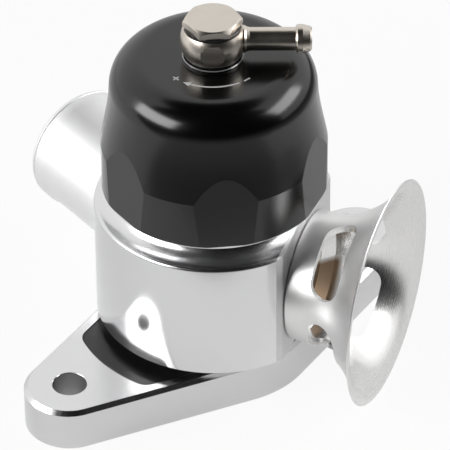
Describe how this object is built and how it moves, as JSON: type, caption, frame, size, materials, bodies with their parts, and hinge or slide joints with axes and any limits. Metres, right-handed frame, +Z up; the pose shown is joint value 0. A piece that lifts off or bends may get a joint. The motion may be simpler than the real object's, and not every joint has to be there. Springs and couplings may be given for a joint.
{
  "type": "blow off valve",
  "caption": "Adjustable turbo blow off valve: two-bolt flange, turned body, slotted vent trumpet, return tube, black screw cap and swivelling banjo hose barb.",
  "frame": {"origin": "on the valve's axis, in the plane of the flange's lower face, midway between the bolt holes", "axes": "+Z up through the cap, +X along the vent trumpet"},
  "size_m": [0.0996, 0.102, 0.0974],
  "materials": {
    "machined_aluminium": "polished",
    "black_anodised": "glossy black anodised",
    "nickel_plate": "nickel plated",
    "gasket_rubber": "smooth",
    "seal_rubber": "satin",
    "bearing_plastic": "matte",
    "spring_steel": "bright wire"
  },
  "bodies": {
    "housing": {"mounting_flange": "machined_aluminium", "base_gasket": "gasket_rubber", "flange_seal": "seal_rubber", "spigot_seal": "seal_rubber", "flange_circlip": "spring_steel", "valve_body": "machined_aluminium", "vent_trumpet": "machined_aluminium", "trumpet_seal": "seal_rubber", "return_tube": "machined_aluminium", "return_seal": "seal_rubber", "cap_seal": "seal_rubber"},
    "piston": {"piston": "machined_aluminium", "piston_seal": "seal_rubber", "piston_wear_ring": "bearing_plastic", "piston_face_seal": "seal_rubber", "spring": "spring_steel"},
    "spring_carrier": {"spring_seat": "machined_aluminium", "thrust_washer": "bearing_plastic"},
    "cap": {"cap": "black_anodised", "banjo_bolt": "nickel_plate", "banjo_washer_lower": "gasket_rubber", "banjo_washer_upper": "gasket_rubber"},
    "hose_fitting": {"banjo_fitting": "nickel_plate"}
  },
  "joints": [
    {"name": "piston_lift", "type": "slide", "parent": "housing", "child": "piston", "axis": [0, 0, 1], "range_m": [0, 0.01], "stiffness_N_per_m": 2500, "springref_m": -0.008, "deforming": ["spring"]},
    {"name": "cap_travel", "type": "slide", "parent": "housing", "child": "spring_carrier", "axis": [0, 0, -1], "range_m": [-0.005, 0], "deforming": ["spring"]},
    {"name": "cap_turn", "type": "hinge", "parent": "spring_carrier", "child": "cap", "pos_m": [0, 0, 0.07], "axis": [0, 0, -1], "range_deg": [-1200, 0]},
    {"name": "banjo_swivel", "type": "hinge", "parent": "cap", "child": "hose_fitting", "pos_m": [0, 0, 0.09136], "axis": [0, 0, 1], "continuous": true}
  ],
  "couplings": [
    {"joint": "cap_turn", "follows": "cap_travel", "rad_per_m": 4188.8}
  ]
}
